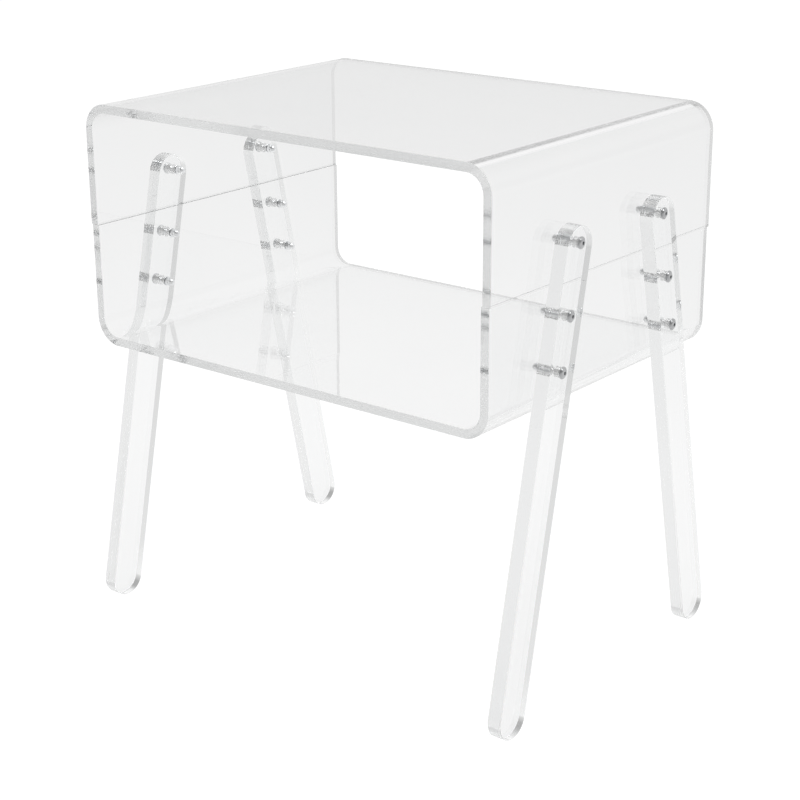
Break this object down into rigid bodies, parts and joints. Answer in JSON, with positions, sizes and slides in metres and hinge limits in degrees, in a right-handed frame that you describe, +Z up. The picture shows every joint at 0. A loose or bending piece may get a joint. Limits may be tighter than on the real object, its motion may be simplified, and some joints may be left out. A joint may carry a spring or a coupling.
{
  "type": "magazine rack",
  "caption": "Clear acrylic side table with an open magazine bay: bent sheets meet as a box, carried by splayed flat bar legs bolted to its sides.",
  "frame": {"origin": "centre of the footprint on the floor, under the middle of the box", "axes": "+Z up; +X to the right and -Y to the front when looking into the magazine bay; the bay runs through along Y"},
  "size_m": [0.5448, 0.375, 0.5523],
  "materials": {
    "clear_acrylic": "clear, polished faces and flame-polished edges",
    "polished_steel": "bright polished"
  },
  "bodies": {
    "root": {"top_shell": "clear_acrylic", "shelf_shell": "clear_acrylic", "leg_front_left": "clear_acrylic", "leg_front_right": "clear_acrylic", "leg_back_left": "clear_acrylic", "leg_back_right": "clear_acrylic", "bolt_front_left_top": "polished_steel", "washer_front_left_top": "polished_steel", "cap_nut_front_left_top": "polished_steel", "bolt_front_left_middle": "polished_steel", "washer_front_left_middle": "polished_steel", "cap_nut_front_left_middle": "polished_steel", "bolt_front_left_low": "polished_steel", "washer_front_left_low": "polished_steel", "cap_nut_front_left_low": "polished_steel", "bolt_front_right_top": "polished_steel", "washer_front_right_top": "polished_steel", "cap_nut_front_right_top": "polished_steel", "bolt_front_right_middle": "polished_steel", "washer_front_right_middle": "polished_steel", "cap_nut_front_right_middle": "polished_steel", "bolt_front_right_low": "polished_steel", "washer_front_right_low": "polished_steel", "cap_nut_front_right_low": "polished_steel", "bolt_back_left_top": "polished_steel", "washer_back_left_top": "polished_steel", "cap_nut_back_left_top": "polished_steel", "bolt_back_left_middle": "polished_steel", "washer_back_left_middle": "polished_steel", "cap_nut_back_left_middle": "polished_steel", "bolt_back_left_low": "polished_steel", "washer_back_left_low": "polished_steel", "cap_nut_back_left_low": "polished_steel", "bolt_back_right_top": "polished_steel", "washer_back_right_top": "polished_steel", "cap_nut_back_right_top": "polished_steel", "bolt_back_right_middle": "polished_steel", "washer_back_right_middle": "polished_steel", "cap_nut_back_right_middle": "polished_steel", "bolt_back_right_low": "polished_steel", "washer_back_right_low": "polished_steel", "cap_nut_back_right_low": "polished_steel"}
  },
  "joints": []
}
